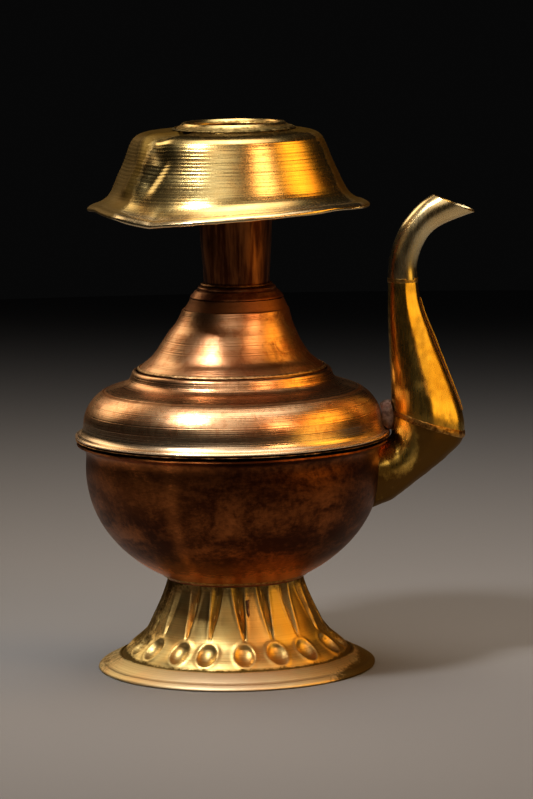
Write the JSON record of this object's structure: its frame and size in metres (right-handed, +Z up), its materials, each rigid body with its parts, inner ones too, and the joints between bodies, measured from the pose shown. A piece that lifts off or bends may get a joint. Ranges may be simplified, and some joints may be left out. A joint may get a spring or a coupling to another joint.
{
  "type": "spouted pouring pot",
  "caption": "Tall metal pouring pot: fluted brass foot, round copper belly with a rim, stepped dome, slim neck under a flared brass hood, and an upturned spout.",
  "frame": {"origin": "under the middle of the whole pot, spout included, on the surface it stands on; the pot's own axis stands 20.2 mm to -X of it", "axes": "+Z up, +X the way the spout points, and -Y towards a viewer who sees the spout on the right"},
  "size_m": [0.187, 0.1466, 0.2546],
  "materials": {
    "brass_sheet": "polished and worn, with spinning ridges",
    "spout_brass": "hammered and scraped, half polished",
    "bowl_copper": "dark mottled copper patina",
    "spun_copper": "polished spun copper with stains",
    "neck_copper": "dark streaked copper",
    "braze": "rough brass braze",
    "soft_solder": "dull grey soft solder"
  },
  "bodies": {
    "root": {"belly_seam_braze": "braze", "bowl": "bowl_copper", "bowl_seat_braze": "braze", "dome": "spun_copper", "dome_solder": "soft_solder", "foot": "brass_sheet", "foot_collar": "bowl_copper", "foot_seam_braze": "braze", "hood": "brass_sheet", "hood_neck_braze": "braze", "mouth_braze": "braze", "mouth_ring": "brass_sheet", "neck_collar": "neck_copper", "neck_foot_braze": "braze", "neck_tube": "neck_copper", "shoulder": "spun_copper", "spout_cone": "spout_brass", "spout_elbow": "spout_brass", "spout_saddle": "spout_brass", "spout_seam_fin": "spout_brass", "spout_solder": "soft_solder", "spout_tip": "spout_brass", "spout_tip_braze": "braze", "spout_waist_braze": "braze"}
  },
  "joints": []
}
